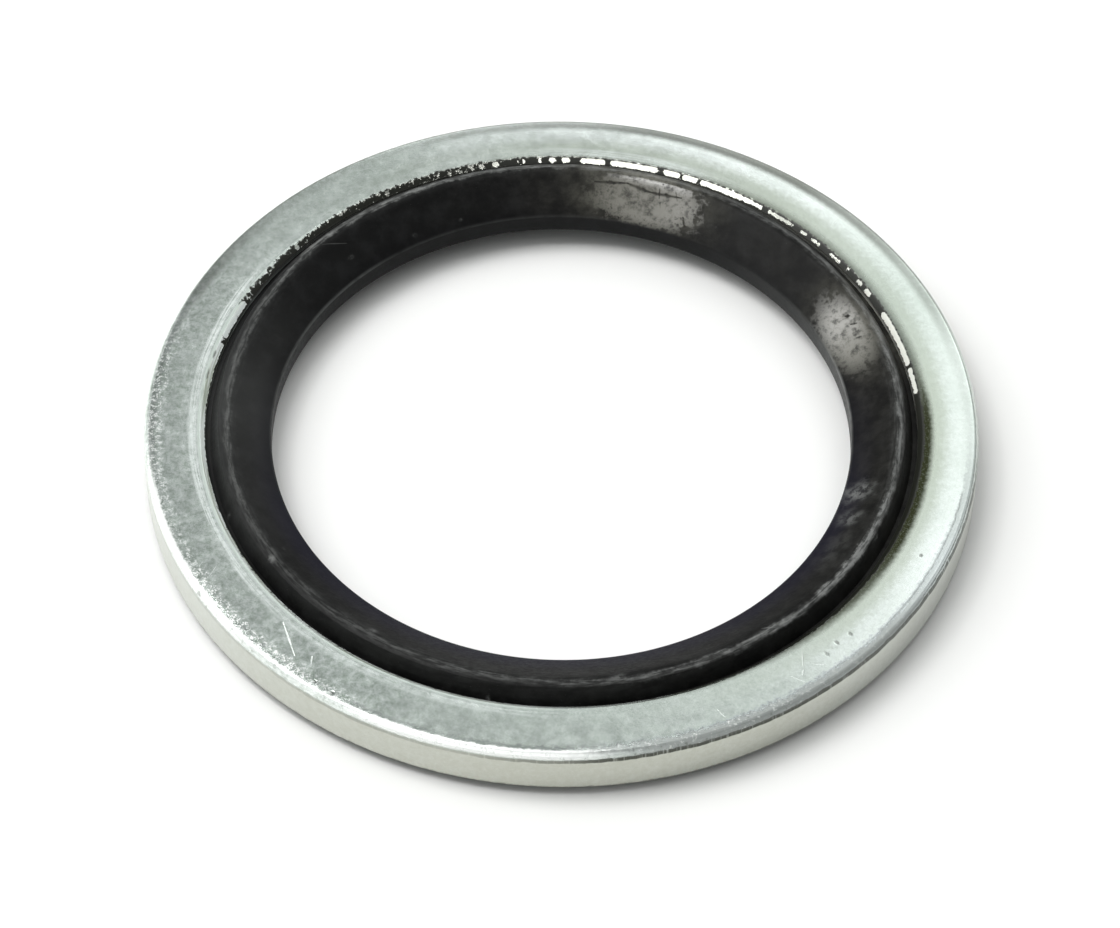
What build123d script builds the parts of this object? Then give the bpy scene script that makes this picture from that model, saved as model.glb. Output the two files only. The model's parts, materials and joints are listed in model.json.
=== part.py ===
from build123d import *
import os

# Bonded sealing washer: a flat steel ring with a rubber seal moulded onto its bore.
# Millimetres, +Z up. The origin is on the ring's axis, in the plane that the washer rests on.

# ---- Driving dimensions ----

# The screw that the washer seals, and its room in the rubber's bore
bolt_diameter = 16.0
bolt_clearance = 0.7            # on the diameter

# Radial widths of the two pieces
seal_width = 1.89               # rubber, from its own bore to the steel
steel_width = 1.76

# Heights
steel_thickness = 1.50
lip_height = 0.28               # rubber lip's crest above the steel's face
land_height = 0.58              # straight wall of the rubber's bore

# Rubber lip: a groove beside the steel, a rounded crest, then a cone down to the land
groove_width = 0.38             # at crest level
groove_floor_width = 0.14
groove_depth = 0.30             # below the steel's face
crest_width = 0.38
crest_rise = 0.05               # crest's middle above its two sides

# Edges of the steel
outer_roll_width = 0.36         # top edge that the press tool rolls over, outside
outer_roll_depth = 0.30
bore_bevel_width = 0.15         # bevel round the top of the bore
bore_bevel_depth = 0.14
edge_break = 0.05               # tumbled corner of the sharp bottom edges

# ---- Radii and levels that follow ----

seal_bore_radius = (bolt_diameter + bolt_clearance) / 2
steel_bore_radius = seal_bore_radius + seal_width
steel_outer_radius = steel_bore_radius + steel_width

steel_bottom = lip_height
steel_top = steel_bottom + steel_thickness
mid_plane = (steel_bottom + steel_top) / 2


def turned(outline):
    """Solid of revolution from a closed outline drawn as (radius, height)."""
    return revolve(Plane.XZ * make_face(Curve() + outline), Axis.Z)


def steel_ring():
    """Blanked ring: a rolled-over edge outside, a bevelled bore, broken corners below."""
    outer_face_end = steel_outer_radius - outer_roll_width
    bore_face_end = steel_bore_radius + bore_bevel_width
    wall_top = (steel_outer_radius, steel_top - outer_roll_depth)
    outer_roll = TangentArc((outer_face_end, steel_top), wall_top, tangent=(1, 0))
    underside = Polyline(
        wall_top,
        (steel_outer_radius, steel_bottom + edge_break),
        (steel_outer_radius - edge_break, steel_bottom),
        (steel_bore_radius + edge_break, steel_bottom),
        (steel_bore_radius, steel_bottom + edge_break),
        (steel_bore_radius, steel_top - bore_bevel_depth),
        (bore_face_end, steel_top),
    )
    top_face = Line((bore_face_end, steel_top), (outer_face_end, steel_top))
    return turned([*top_face.edges(), *outer_roll.edges(), *underside.edges()])


def lip_outline(side):
    """One face of the seal, from the steel's bore to the land; side is 1 on top, -1 below."""

    def at(radius, height):
        return (radius, mid_plane + side * height)

    crest_level = steel_thickness / 2 + lip_height
    floor_level = steel_thickness / 2 - groove_depth
    crest_outside = steel_bore_radius - groove_width
    crest_inside = crest_outside - crest_width
    groove = Polyline(
        at(steel_bore_radius, floor_level),
        at(steel_bore_radius - groove_floor_width, floor_level),
        at(crest_outside, crest_level - crest_rise),
    )
    crest = ThreePointArc(
        at(crest_outside, crest_level - crest_rise),
        at((crest_outside + crest_inside) / 2, crest_level),
        at(crest_inside, crest_level - crest_rise),
    )
    cone = Line(
        at(crest_inside, crest_level - crest_rise),
        at(seal_bore_radius, land_height / 2),
    )
    return [*groove.edges(), *crest.edges(), *cone.edges()]


def rubber_seal():
    """Moulded ring, the same on both faces, bonded all round to the steel's bore."""
    bond_half_height = steel_thickness / 2 - groove_depth
    land = Line(
        (seal_bore_radius, mid_plane + land_height / 2),
        (seal_bore_radius, mid_plane - land_height / 2),
    )
    bond = Line(
        (steel_bore_radius, mid_plane + bond_half_height),
        (steel_bore_radius, mid_plane - bond_half_height),
    )
    return turned([*lip_outline(1), *land.edges(), *lip_outline(-1), *bond.edges()])


def write_part(name, solid):
    solid.label = name
    export_step(solid, "parts/" + name + ".step")


os.makedirs("parts", exist_ok=True)
write_part("steel_ring", steel_ring())
write_part("rubber_seal", rubber_seal())
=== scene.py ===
"""A bonded sealing washer: a zinc-plated steel ring with a black rubber seal moulded onto its bore.

Lengths are in millimetres until a mesh is made, and then in metres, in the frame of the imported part.
A place round the ring is its turn: degrees clockwise from +X, seen from above, so the front is at 90.
"""

import json
import math

import bmesh
import bpy
from mathutils import Matrix, Vector


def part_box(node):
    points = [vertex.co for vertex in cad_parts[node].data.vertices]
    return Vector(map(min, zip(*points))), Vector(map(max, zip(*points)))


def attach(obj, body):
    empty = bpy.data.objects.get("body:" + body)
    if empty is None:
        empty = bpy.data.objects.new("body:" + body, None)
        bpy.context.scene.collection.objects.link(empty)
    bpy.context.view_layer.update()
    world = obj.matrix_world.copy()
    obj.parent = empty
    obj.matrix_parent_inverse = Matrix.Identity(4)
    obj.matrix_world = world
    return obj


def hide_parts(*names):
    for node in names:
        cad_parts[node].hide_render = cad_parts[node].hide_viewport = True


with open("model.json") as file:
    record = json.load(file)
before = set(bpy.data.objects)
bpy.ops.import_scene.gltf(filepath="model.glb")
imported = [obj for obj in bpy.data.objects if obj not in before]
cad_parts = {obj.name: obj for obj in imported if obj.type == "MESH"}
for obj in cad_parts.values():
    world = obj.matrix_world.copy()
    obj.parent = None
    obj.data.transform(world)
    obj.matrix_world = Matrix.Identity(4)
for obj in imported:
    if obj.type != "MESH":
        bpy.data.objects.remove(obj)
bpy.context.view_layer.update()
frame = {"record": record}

MM = 0.001

# ---- Sizes of the two pieces, from the frame ----

steel_low, steel_high = (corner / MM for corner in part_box("steel_ring"))
seal_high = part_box("rubber_seal")[1] / MM

STEEL_OUTER_RADIUS = steel_high.x
STEEL_BOTTOM = steel_low.z
STEEL_TOP = steel_high.z
STEEL_BORE_RADIUS = seal_high.x
SEAL_BORE_RADIUS = frame["record"]["mounts"][0]["dims"]["r_mm"]
SEAL_TOP = seal_high.z
MID_PLANE = (STEEL_BOTTOM + STEEL_TOP) / 2

# ---- Sizes of the edges, the groove and the lip, as the part has them ----

OUTER_ROLL_WIDTH = 0.36
BORE_BEVEL_WIDTH = 0.15
BORE_BEVEL_DEPTH = 0.14
EDGE_BREAK = 0.05
GROOVE_WIDTH = 0.38
GROOVE_FLOOR_WIDTH = 0.14
GROOVE_DEPTH = 0.30
CREST_WIDTH = 0.38
CREST_RISE = 0.05
LAND_HEIGHT = 0.58

ROLL_START = STEEL_OUTER_RADIUS - OUTER_ROLL_WIDTH
BEVEL_END = STEEL_BORE_RADIUS + BORE_BEVEL_WIDTH
CREST_OUTSIDE = STEEL_BORE_RADIUS - GROOVE_WIDTH
CREST_INSIDE = CREST_OUTSIDE - CREST_WIDTH

# The top face falls away a little towards the rolled edge, whose last part turns down to the wall
EDGE_TURN_WIDTH = 0.19
EDGE_TURN_DEPTH = 0.26
CROWN_START = STEEL_BORE_RADIUS + 0.66
CROWN_SLOPE = 0.085             # where the edge turns down
CROWN_LEAN = math.atan2(EDGE_TURN_DEPTH, CROWN_SLOPE * EDGE_TURN_WIDTH)
TURN_START = STEEL_OUTER_RADIUS - EDGE_TURN_WIDTH * (1 - math.cos(CROWN_LEAN))
ROUNDING = 0.045                # how far the soft corners are rounded off

SEGMENTS = 1100                 # round the ring


# ---- Sections, drawn as (radius, height) ----


def straight(start, end, steps):
    """Points along a line, without its end."""
    return [tuple(Vector(start).lerp(Vector(end), i / steps)) for i in range(steps)]


def rounded(before, corner, after, reach, steps):
    """Points of a curve that rounds a corner off, starting and ending at the reach from it."""
    corner = Vector(corner)
    start = corner + (Vector(before) - corner).normalized() * reach
    end = corner + (Vector(after) - corner).normalized() * reach
    points = []
    for i in range(steps + 1):
        part = i / steps
        points.append(tuple(start.lerp(corner, part).lerp(corner.lerp(end, part), part)))
    return points


def crowned_face(steps):
    """Points of the top face from the bevel to the turned edge: flat, then falling away."""
    points = straight((BEVEL_END + ROUNDING, STEEL_TOP), (CROWN_START, STEEL_TOP), 6)[1:]
    width = TURN_START - CROWN_START
    for i in range(steps):
        part = i / steps
        drop = CROWN_SLOPE * width * part * part / 2
        points.append((CROWN_START + width * part, STEEL_TOP - drop))
    return points


def turned_edge(steps):
    """Points of a quarter ellipse from the end of the crowned face to the outer wall."""
    start_height = STEEL_TOP - CROWN_SLOPE * (TURN_START - CROWN_START) / 2
    middle_height = start_height - EDGE_TURN_DEPTH * math.sin(CROWN_LEAN)
    middle_radius = STEEL_OUTER_RADIUS - EDGE_TURN_WIDTH
    points = []
    for i in range(steps + 1):
        angle = CROWN_LEAN * (1 - i / steps)
        radius = middle_radius + EDGE_TURN_WIDTH * math.cos(angle)
        points.append((radius, middle_height + EDGE_TURN_DEPTH * math.sin(angle)))
    return points


def steel_section():
    """Closed outline of the steel, from the bore edge of its top face outwards and round."""
    edge = turned_edge(16)
    bore_wall_top = STEEL_TOP - BORE_BEVEL_DEPTH
    break_top = STEEL_BOTTOM + EDGE_BREAK
    outer_break = STEEL_OUTER_RADIUS - EDGE_BREAK
    bore_break = STEEL_BORE_RADIUS + EDGE_BREAK
    bevel_foot = (STEEL_BORE_RADIUS, bore_wall_top)
    bevel_top = rounded(bevel_foot, (BEVEL_END, STEEL_TOP), (CROWN_START, STEEL_TOP), ROUNDING, 6)
    return [
        *crowned_face(12),
        *edge[:-1],
        *straight(edge[-1], (STEEL_OUTER_RADIUS, break_top), 6),
        *straight((STEEL_OUTER_RADIUS, break_top), (outer_break, STEEL_BOTTOM), 2),
        *straight((outer_break, STEEL_BOTTOM), (bore_break, STEEL_BOTTOM), 4),
        *straight((bore_break, STEEL_BOTTOM), (STEEL_BORE_RADIUS, break_top), 2),
        *straight((STEEL_BORE_RADIUS, break_top), (STEEL_BORE_RADIUS, bore_wall_top), 6),
        *straight(bevel_foot, bevel_top[0], 4),
        *bevel_top,
    ]


def seal_face(side):
    """One face of the rubber, from the steel to the land; side is 1 on top, -1 below."""
    crest_level = SEAL_TOP - MID_PLANE
    crest_side = crest_level - CREST_RISE
    floor_level = STEEL_TOP - MID_PLANE - GROOVE_DEPTH
    floor_end = STEEL_BORE_RADIUS - GROOVE_FLOOR_WIDTH
    half_width = CREST_WIDTH / 2
    arc_radius = (half_width**2 + CREST_RISE**2) / (2 * CREST_RISE)
    half_sweep = math.asin(half_width / arc_radius)
    steps = 8
    cone_top = (CREST_INSIDE, crest_side)
    cone_foot = (SEAL_BORE_RADIUS, LAND_HEIGHT / 2)
    lip_edge = rounded(cone_top, cone_foot, (SEAL_BORE_RADIUS, 0), ROUNDING, 8)
    crest = []
    for i in range(steps):
        angle = half_sweep * (1 - 2 * i / steps)
        radius = CREST_OUTSIDE - half_width + arc_radius * math.sin(angle)
        crest.append((radius, crest_level - arc_radius * (1 - math.cos(angle))))
    points = [
        *straight((STEEL_BORE_RADIUS, floor_level), (floor_end, floor_level), 2),
        *straight((floor_end, floor_level), (CREST_OUTSIDE, crest_side), 3),
        *crest,
        *straight(cone_top, lip_edge[0], 8),
        *lip_edge,
    ]
    return [(radius, MID_PLANE + side * height) for radius, height in points]


def seal_section():
    """Closed outline of the rubber: its top face, its land, its bottom face and the bond."""
    land_half = LAND_HEIGHT / 2 - ROUNDING
    bond_half = STEEL_TOP - MID_PLANE - GROOVE_DEPTH
    land = straight(
        (SEAL_BORE_RADIUS, MID_PLANE + land_half), (SEAL_BORE_RADIUS, MID_PLANE - land_half), 6
    )
    bond = straight(
        (STEEL_BORE_RADIUS, MID_PLANE - bond_half), (STEEL_BORE_RADIUS, MID_PLANE + bond_half), 4
    )
    return [*seal_face(1), *land[1:], *reversed(seal_face(-1)), *bond[1:]]


# ---- Geometry Nodes ----


def turned_ring_tree():
    """Sweeps a section round the axis, and sets its material."""
    tree = bpy.data.node_groups.new("Turned ring", "GeometryNodeTree")
    sockets = (
        ("Section", "INPUT", "Geometry"),
        ("Segments", "INPUT", "Int"),
        ("Spine radius", "INPUT", "Float"),
        ("Material", "INPUT", "Material"),
        ("Ring", "OUTPUT", "Geometry"),
    )
    for name, side, kind in sockets:
        tree.interface.new_socket(name, in_out=side, socket_type="NodeSocket" + kind)
    given = tree.nodes.new("NodeGroupInput").outputs
    result = tree.nodes.new("NodeGroupOutput").inputs
    spine = tree.nodes.new("GeometryNodeCurvePrimitiveCircle")
    inward = tree.nodes.new("ShaderNodeMath")
    inward.operation = "MULTIPLY"
    inward.inputs[1].default_value = -1
    offset = tree.nodes.new("ShaderNodeCombineXYZ")
    place = tree.nodes.new("GeometryNodeTransform")
    place.inputs["Scale"].default_value = (1, -1, 1)
    sweep = tree.nodes.new("GeometryNodeCurveToMesh")
    realise = tree.nodes.new("GeometryNodeRealizeInstances")
    paint = tree.nodes.new("GeometryNodeSetMaterial")
    joins = (
        (given["Segments"], spine.inputs["Resolution"]),
        (given["Spine radius"], spine.inputs["Radius"]),
        (given["Spine radius"], inward.inputs[0]),
        (inward.outputs[0], offset.inputs["X"]),
        (given["Section"], place.inputs["Geometry"]),
        (offset.outputs[0], place.inputs["Translation"]),
        (spine.outputs["Curve"], sweep.inputs["Curve"]),
        (place.outputs[0], sweep.inputs["Profile Curve"]),
        (sweep.outputs[0], realise.inputs[0]),
        (realise.outputs[0], paint.inputs["Geometry"]),
        (given["Material"], paint.inputs["Material"]),
        (paint.outputs[0], result["Ring"]),
    )
    for output, entry in joins:
        tree.links.new(output, entry)
    return tree


def socket_id(tree, name):
    """Identifier of a tree's named input."""
    return next(
        item.identifier
        for item in tree.interface.items_tree
        if item.item_type == "SOCKET" and item.in_out == "INPUT" and item.name == name
    )


def section_curve(name, points):
    """Closed flat curve, in metres, through the points of a section."""
    curve = bpy.data.curves.new(name, "CURVE")
    curve.dimensions = "3D"
    spline = curve.splines.new("POLY")
    spline.points.add(len(points) - 1)
    for spot, (radius, height) in zip(spline.points, points):
        spot.co = (radius * MM, height * MM, 0, 1)
    spline.use_cyclic_u = True
    item = bpy.data.objects.new(name, curve)
    bpy.context.scene.collection.objects.link(item)
    return item


def grown(source, tree, settings, name):
    """Runs a Geometry Nodes tree on an object and returns the result as a plain mesh object."""
    modifier = source.modifiers.new("Grow", "NODES")
    modifier.node_group = tree
    for setting, value in settings.items():
        modifier[socket_id(tree, setting)] = value
    graph = bpy.context.evaluated_depsgraph_get()
    mesh = bpy.data.meshes.new_from_object(source.evaluated_get(graph))
    bpy.data.objects.remove(source)
    mesh.name = name
    item = bpy.data.objects.new(name, mesh)
    bpy.context.scene.collection.objects.link(item)
    return item


def tidy_normals(item, crease_degrees):
    """Turns all faces outward, then shades them smooth between creases."""
    work = bmesh.new()
    work.from_mesh(item.data)
    bmesh.ops.remove_doubles(work, verts=work.verts, dist=1e-7)
    bmesh.ops.recalc_face_normals(work, faces=work.faces)
    work.to_mesh(item.data)
    work.free()
    item.data.shade_smooth()
    item.data.set_sharp_from_angle(angle=math.radians(crease_degrees))


def turned_piece(name, section, material, crease_degrees):
    """A ring with the given section, as a finished mesh."""
    settings = {"Segments": SEGMENTS, "Spine radius": STEEL_BORE_RADIUS * MM, "Material": material}
    piece = grown(section_curve(name + "_section", section), RING_TREE, settings, name)
    tidy_normals(piece, crease_degrees)
    return piece


# ---- Shader building ----


class Bench:
    """Short calls that add nodes to one shader tree and join them up."""

    def __init__(self, tree):
        self.tree = tree

    def feed(self, socket, value):
        """Joins a socket to another one, or gives it a plain value."""
        if isinstance(value, bpy.types.NodeSocket):
            self.tree.links.new(value, socket)
        else:
            socket.default_value = value

    def node(self, kind, **settings):
        """New node with its settings."""
        made = self.tree.nodes.new(kind)
        for name, value in settings.items():
            setattr(made, name, value)
        return made

    def value(self, operation, *values, clamp=False):
        """Result of one operation on numbers."""
        made = self.node("ShaderNodeMath", operation=operation, use_clamp=clamp)
        for socket, value in zip(made.inputs, values):
            self.feed(socket, value)
        return made.outputs[0]

    def product(self, first, *others, clamp=False):
        """All the values multiplied together."""
        for other in others[:-1]:
            first = self.value("MULTIPLY", first, other)
        return self.value("MULTIPLY", first, others[-1], clamp=clamp)

    def plus(self, base, field, amount, clamp=False):
        """A value with a share of a field added to it."""
        return self.value("MULTIPLY_ADD", field, amount, base, clamp=clamp)

    def minus(self, first, second):
        """The first value less the second."""
        return self.value("SUBTRACT", first, second)

    def apart(self, first, second):
        """How far two values are from each other."""
        return self.value("ABSOLUTE", self.minus(first, second))

    def larger(self, first, second):
        """The larger of two values."""
        return self.value("MAXIMUM", first, second)

    def centred(self, field):
        """Noise that runs from 0 to 1, moved so that its middle is 0."""
        return self.minus(field, 0.5)

    def vector(self, operation, *values):
        """Result of one operation on vectors."""
        made = self.node("ShaderNodeVectorMath", operation=operation)
        for socket, value in zip(made.inputs, values):
            self.feed(socket, value)
        return made.outputs[1 if operation in ("DOT_PRODUCT", "LENGTH", "DISTANCE") else 0]

    def scaled(self, vector, factor):
        """Vector multiplied by a number."""
        made = self.node("ShaderNodeVectorMath", operation="SCALE")
        self.feed(made.inputs[0], vector)
        self.feed(made.inputs["Scale"], factor)
        return made.outputs[0]

    def between(self, value, low, high, from_value=0.0, to_value=1.0):
        """Smooth step from one value to another as the input goes from low to high."""
        made = self.node("ShaderNodeMapRange", interpolation_type="SMOOTHSTEP")
        for socket, given in zip(made.inputs, (value, low, high, from_value, to_value)):
            self.feed(socket, given)
        return made.outputs[0]

    def mixed(self, amount, first, second):
        """Colour between two others."""
        made = self.node("ShaderNodeMix", data_type="RGBA")
        self.feed(made.inputs[0], amount)
        self.feed(made.inputs[6], first)
        self.feed(made.inputs[7], second)
        return made.outputs[2]

    def blend(self, amount, first, second):
        """Number between two others."""
        made = self.node("ShaderNodeMix", data_type="FLOAT")
        self.feed(made.inputs[0], amount)
        self.feed(made.inputs[2], first)
        self.feed(made.inputs[3], second)
        return made.outputs[0]

    def noise(self, vector, scale, detail, roughness):
        """Noise that runs from 0 to 1."""
        made = self.node("ShaderNodeTexNoise")
        self.feed(made.inputs["Vector"], vector)
        made.inputs["Scale"].default_value = scale
        made.inputs["Detail"].default_value = detail
        made.inputs["Roughness"].default_value = roughness
        return made.outputs["Fac"]

    def group(self, tree, **values):
        """Node group, with its inputs given by name."""
        made = self.node("ShaderNodeGroup", node_tree=tree)
        for name, value in values.items():
            self.feed(made.inputs[name.replace("_", " ").capitalize()], value)
        return made

    def ramp(self, part, kind, stops):
        """Value that follows a list of (part, value); the parts run from 0 to 1."""
        made = self.node("ShaderNodeValToRGB")
        ramp = made.color_ramp
        ramp.interpolation = kind
        while len(ramp.elements) > 1:
            ramp.elements.remove(ramp.elements[-1])
        for i, (place, value) in enumerate(stops):
            stop = ramp.elements.new(place) if i else ramp.elements[0]
            stop.position = place
            stop.color = (value, value, value, 1)
        self.feed(made.inputs["Fac"], part)
        return made.outputs["Color"]

    def jumps(self, turn, low, high, stops):
        """Value that jumps at each turn of a list of (degrees, value), between two turns."""
        part = self.node("ShaderNodeMapRange", interpolation_type="LINEAR")
        for socket, given in zip(part.inputs, (turn, low, high, 0.0, 1.0)):
            self.feed(socket, given)
        steps = [((degrees - low) / (high - low), value) for degrees, value in stops]
        return self.ramp(part.outputs[0], "CONSTANT", [(0.0, 0.0), *steps])

    def round_ring(self, turn, stops, smooth=True):
        """Value that follows the turn through a list of (degrees, value)."""
        steps = [(degrees / 360, value) for degrees, value in stops]
        return self.ramp(self.value("DIVIDE", turn, 360), "EASE" if smooth else "LINEAR", steps)

    def bumped(self, shader, relief, strength):
        """Gives a shader a relief in hundredths of a millimetre."""
        bump = self.node("ShaderNodeBump")
        bump.inputs["Strength"].default_value = strength
        bump.inputs["Distance"].default_value = 0.01 * MM
        self.feed(bump.inputs["Height"], relief)
        self.feed(shader.inputs["Normal"], bump.outputs[0])


def shader_group(name, inputs, outputs):
    """Empty shader node group with named sockets; returns it with its bench and its two ends."""
    kinds = {"value": "NodeSocketFloat", "vector": "NodeSocketVector", "colour": "NodeSocketColor"}
    tree = bpy.data.node_groups.new(name, "ShaderNodeTree")
    for socket, kind in inputs.items():
        tree.interface.new_socket(socket, in_out="INPUT", socket_type=kinds[kind])
    for socket, kind in outputs.items():
        tree.interface.new_socket(socket, in_out="OUTPUT", socket_type=kinds[kind])
    bench = Bench(tree)
    return tree, bench, bench.node("NodeGroupInput").outputs, bench.node("NodeGroupOutput").inputs


def ring_place_group():
    """Turn, radius and height of a point, and its position in millimetres."""
    tree, bench, given, result = shader_group(
        "Ring place",
        {"Object": "vector"},
        {"Position": "vector", "Turn": "value", "Radius": "value", "Height": "value"},
    )
    position = bench.scaled(given["Object"], 1 / MM)
    parts = bench.node("ShaderNodeSeparateXYZ")
    bench.feed(parts.inputs[0], position)
    backward = bench.product(parts.outputs["Y"], -1)
    angle = bench.value("ARCTAN2", backward, parts.outputs["X"])
    degrees = bench.product(angle, 180 / math.pi)
    whole = bench.value("ADD", degrees, 360)
    flat = bench.node("ShaderNodeCombineXYZ")
    bench.feed(flat.inputs["X"], parts.outputs["X"])
    bench.feed(flat.inputs["Y"], parts.outputs["Y"])
    bench.feed(result["Position"], position)
    bench.feed(result["Turn"], bench.value("MODULO", whole, 360))
    bench.feed(result["Radius"], bench.vector("LENGTH", flat.outputs[0]))
    bench.feed(result["Height"], parts.outputs["Z"])
    return tree


def streaks_group():
    """Noise drawn out across the ring or round it: unit direction times spread, then radius."""
    tree, bench, given, result = shader_group(
        "Streaks",
        {"Position": "vector", "Radius": "value", "Round": "value", "Across": "value"},
        {"Streaks": "value"},
    )
    flat = bench.vector("MULTIPLY", given["Position"], (1, 1, 0))
    outward = bench.vector("NORMALIZE", flat)
    spread = bench.scaled(outward, given["Round"])
    depth = bench.node("ShaderNodeCombineXYZ")
    bench.feed(depth.inputs["Z"], bench.product(given["Radius"], given["Across"]))
    place = bench.vector("ADD", spread, depth.outputs[0])
    bench.feed(result["Streaks"], bench.noise(place, 1.0, 2.0, 0.6))
    return tree


def patch_group():
    """Mask of one ragged patch, given by its middle and its half sizes round and across the ring."""
    place = ("Turn", "Radius", "Ragged")
    patch = ("Middle turn", "Half turn", "Middle radius", "Half radius", "Softness")
    inputs = dict.fromkeys(place + patch, "value")
    tree, bench, given, result = shader_group("Patch", inputs, {"Mask": "value"})
    turned = bench.minus(given["Turn"], given["Middle turn"])
    lifted = bench.value("ADD", turned, 540)
    wrapped = bench.minus(bench.value("MODULO", lifted, 360), 180)
    along = bench.value("DIVIDE", wrapped, given["Half turn"])
    offset = bench.minus(given["Radius"], given["Middle radius"])
    across = bench.value("DIVIDE", offset, given["Half radius"])
    square = bench.value("ADD", bench.value("POWER", along, 2), bench.value("POWER", across, 2))
    distance = bench.value("ADD", bench.value("SQRT", square), given["Ragged"])
    low = bench.minus(1, given["Softness"])
    high = bench.value("ADD", 1, given["Softness"])
    bench.feed(result["Mask"], bench.between(distance, low, high, 1.0, 0.0))
    return tree


def scratch_group():
    """Mask of one straight scratch between two points of the plan."""
    tree, bench, given, result = shader_group(
        "Scratch",
        {"Position": "vector", "Start": "vector", "End": "vector", "Half width": "value"},
        {"Mask": "value"},
    )
    flat = bench.vector("MULTIPLY", given["Position"], (1, 1, 0))
    reach = bench.vector("SUBTRACT", flat, given["Start"])
    run = bench.vector("SUBTRACT", given["End"], given["Start"])
    shadow = bench.vector("DOT_PRODUCT", reach, run)
    length = bench.vector("DOT_PRODUCT", run, run)
    part = bench.value("DIVIDE", shadow, length, clamp=True)
    nearest = bench.scaled(run, part)
    gap = bench.vector("DISTANCE", reach, nearest)
    taper = bench.product(bench.apart(part, 0.5), 1.2)
    width = bench.product(given["Half width"], bench.minus(1, taper))
    bench.feed(result["Mask"], bench.between(gap, 0.0, width, 1.0, 0.0))
    return tree


def hairlines_group():
    """Mask of many fine straight scratches that run at an angle in the plan."""
    tree, bench, given, result = shader_group(
        "Hairlines",
        {"Position": "vector", "Angle": "value", "Rarity": "value"},
        {"Mask": "value"},
    )
    turned = bench.node("ShaderNodeVectorRotate", rotation_type="Z_AXIS")
    bench.feed(turned.inputs["Vector"], given["Position"])
    bench.feed(turned.inputs["Angle"], given["Angle"])
    drawn = bench.vector("MULTIPLY", turned.outputs[0], (18.0, 0.9, 0.0))
    noise = bench.noise(drawn, 1.0, 1.0, 0.5)
    high = bench.value("ADD", given["Rarity"], 0.10)
    bench.feed(result["Mask"], bench.between(noise, given["Rarity"], high))
    return tree


RING_PLACE = ring_place_group()
STREAKS = streaks_group()
PATCH = patch_group()
SCRATCH = scratch_group()
HAIRLINES = hairlines_group()


def spaced(origin, *distances):
    """Places at some distances from another."""
    return tuple(origin + distance for distance in distances)


def in_plan(turn, radius):
    """Point of the plan at a turn and a radius."""
    angle = math.radians(turn)
    return (radius * math.cos(angle), -radius * math.sin(angle), 0)


def new_material(name):
    """Material with a Principled shader, its bench, and the place of the shaded point."""
    material = bpy.data.materials.new(name)
    material.use_nodes = True
    bench = Bench(material.node_tree)
    shader = material.node_tree.nodes["Principled BSDF"]
    seen = bench.node("ShaderNodeTexCoord")
    place = bench.group(RING_PLACE, object=seen.outputs["Object"]).outputs
    return material, bench, shader, place


def all_scratches(bench, place, scratches):
    """One mask from a list of (turn, radius, turn, radius, half width, strength)."""
    total = 0.0
    for turn_1, radius_1, turn_2, radius_2, half_width, strength in scratches:
        mark = bench.group(
            SCRATCH,
            position=place["Position"],
            start=in_plan(turn_1, radius_1),
            end=in_plan(turn_2, radius_2),
            half_width=half_width,
        ).outputs["Mask"]
        total = bench.plus(total, mark, strength)
    return total


def all_patches(bench, place, ragged, patches):
    """One mask from a list of (turn, half turn, radius, half radius, softness, strength)."""
    total = 0.0
    for turn, half_turn, radius, half_radius, softness, strength in patches:
        mark = bench.group(
            PATCH,
            turn=place["Turn"],
            radius=place["Radius"],
            ragged=ragged,
            middle_turn=turn,
            half_turn=half_turn,
            middle_radius=radius,
            half_radius=half_radius,
            softness=softness,
        ).outputs["Mask"]
        total = bench.plus(total, mark, strength)
    return total


# ---- Zinc-plated steel ----

ZINC_DULL = (0.415, 0.49, 0.425, 1)
ZINC_PALE = (0.89, 0.95, 0.925, 1)
ZINC_GREENISH = (0.47, 0.53, 0.43, 1)
ZINC_BLUISH = (0.50, 0.54, 0.56, 1)
WALL_DULL = (0.50, 0.51, 0.45, 1)
WALL_PALE = (0.67, 0.695, 0.66, 1)
# Dark for the painted shade on the turned edge
EDGE_SHADE_DARK = (0.14, 0.155, 0.155, 1)
BRIGHT_BEVEL = (0.97, 0.98, 0.90, 1)
# White for scratches and scuffs, and for the painted highlight on the turned edge
SCRATCHED_AND_HIGHLIGHT = (0.95, 0.97, 0.95, 1)
CHALK = (0.44, 0.505, 0.46, 1)
SCOURED_GREY = (0.33, 0.35, 0.335, 1)
# Dark for pits and marks, and for painted shade
PIT_AND_SHADE = (0.10, 0.105, 0.09, 1)
OLIVE = (0.030, 0.034, 0.015, 1)
FILM = (0.010, 0.011, 0.007, 1)

# Bands of the steel: the radius, or the height, where each starts and the one where it is full
HAZE_BAND = spaced(STEEL_OUTER_RADIUS, -0.70, -1.20)
PALE_BAND = spaced(STEEL_BORE_RADIUS, 0.54, 0.42)
CHALKY_BAND = spaced(STEEL_BORE_RADIUS, 0.24, 0.34)
BLUISH_BAND = spaced(STEEL_OUTER_RADIUS, -0.44, -0.34)
SHADED_BAND = spaced(STEEL_OUTER_RADIUS, -0.58, -0.32)
EDGE_SHADE_BAND = spaced(STEEL_OUTER_RADIUS, -0.38, -0.28)
EDGE_SHADE_END = spaced(STEEL_OUTER_RADIUS, -0.04, -0.10)
SCOURED_BAND = spaced(STEEL_OUTER_RADIUS, -0.34, -0.22)
SCOURED_FOOT = spaced(STEEL_TOP, -0.28, -0.22)
ROLL_HIGHLIGHT_BAND = spaced(STEEL_OUTER_RADIUS, -0.24, -0.17)
ROLL_HIGHLIGHT_FOOT = spaced(STEEL_TOP, -0.26, -0.20)
SCUFFED_BAND = spaced(STEEL_OUTER_RADIUS, -0.60, -0.38)
SCUFFED_END = spaced(STEEL_OUTER_RADIUS, -0.07, -0.15)
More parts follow.
